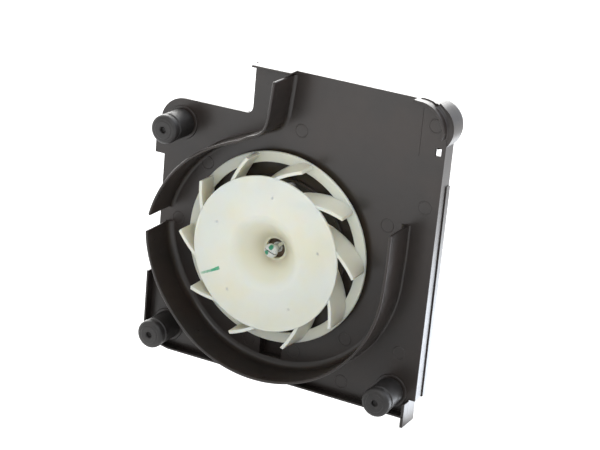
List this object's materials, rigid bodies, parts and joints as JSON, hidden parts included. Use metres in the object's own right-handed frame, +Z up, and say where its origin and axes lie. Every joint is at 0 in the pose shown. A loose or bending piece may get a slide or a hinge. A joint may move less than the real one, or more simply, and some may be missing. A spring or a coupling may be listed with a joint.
{
  "type": "radial fan unit",
  "caption": "Radial fan unit: backward-curved blower wheel on an outer-rotor motor, in an open moulded scroll housing that stands on rubber dampers.",
  "frame": {"origin": "on the wheel axis, in the front face of the housing floor", "axes": "+Y along the wheel axis, away from the open front; +Z up towards the air outlet; +X to the right seen from the front"},
  "size_m": [0.2261, 0.0535, 0.2352],
  "materials": {
    "housing_plastic": "moulded black-brown polypropylene, satin",
    "damper_rubber": "matt black rubber",
    "wheel_plastic": "moulded natural off-white plastic, satin",
    "steel": "bright zinc-plated or drawn steel",
    "rotor_steel": "black painted pressed steel",
    "magnet_ferrite": "bonded ferrite, matt grey-black",
    "laminated_steel": "stacked stampings",
    "brass": "turned brass",
    "bronze": "porous sintered bronze",
    "copper_winding": "enamelled copper wire",
    "nylon_natural": "natural nylon",
    "board_laminate": "green circuit board",
    "case_plastic": "black moulded plastic",
    "component_black": "black epoxy package"
  },
  "bodies": {
    "housing": {"scroll_housing": "housing_plastic", "motor_carrier": "housing_plastic", "damper_top_left": "damper_rubber", "damper_bottom_left": "damper_rubber", "damper_bottom_right": "damper_rubber", "bearing_tube": "brass", "bearing_front": "bronze", "bearing_rear": "bronze", "stator_core": "laminated_steel", "insulator_front": "nylon_natural", "insulator_rear": "nylon_natural", "coil_1": "copper_winding", "coil_2": "copper_winding", "coil_3": "copper_winding", "coil_4": "copper_winding", "coil_5": "copper_winding", "coil_6": "copper_winding", "motor_board": "board_laminate", "hall_sensor": "component_black", "driver_chip": "component_black", "motor_base": "case_plastic", "connector_socket": "nylon_natural", "connector_pin_1": "steel", "connector_pin_2": "steel", "connector_pin_3": "steel", "grommet_1": "damper_rubber", "motor_screw_1": "steel", "carrier_screw_1": "steel", "grommet_2": "damper_rubber", "motor_screw_2": "steel", "carrier_screw_2": "steel", "grommet_3": "damper_rubber", "motor_screw_3": "steel", "carrier_screw_3": "steel"},
    "rotor": {"impeller": "wheel_plastic", "wheel_spindle": "nylon_natural", "rotor_cup": "rotor_steel", "rotor_magnet": "magnet_ferrite", "rotor_shaft": "steel", "thrust_washer": "nylon_natural", "shaft_clip": "steel"}
  },
  "joints": [
    {"name": "wheel_spin", "type": "hinge", "parent": "housing", "child": "rotor", "pos_m": [0, 0, 0], "axis": [0, -1, 0], "continuous": true}
  ]
}
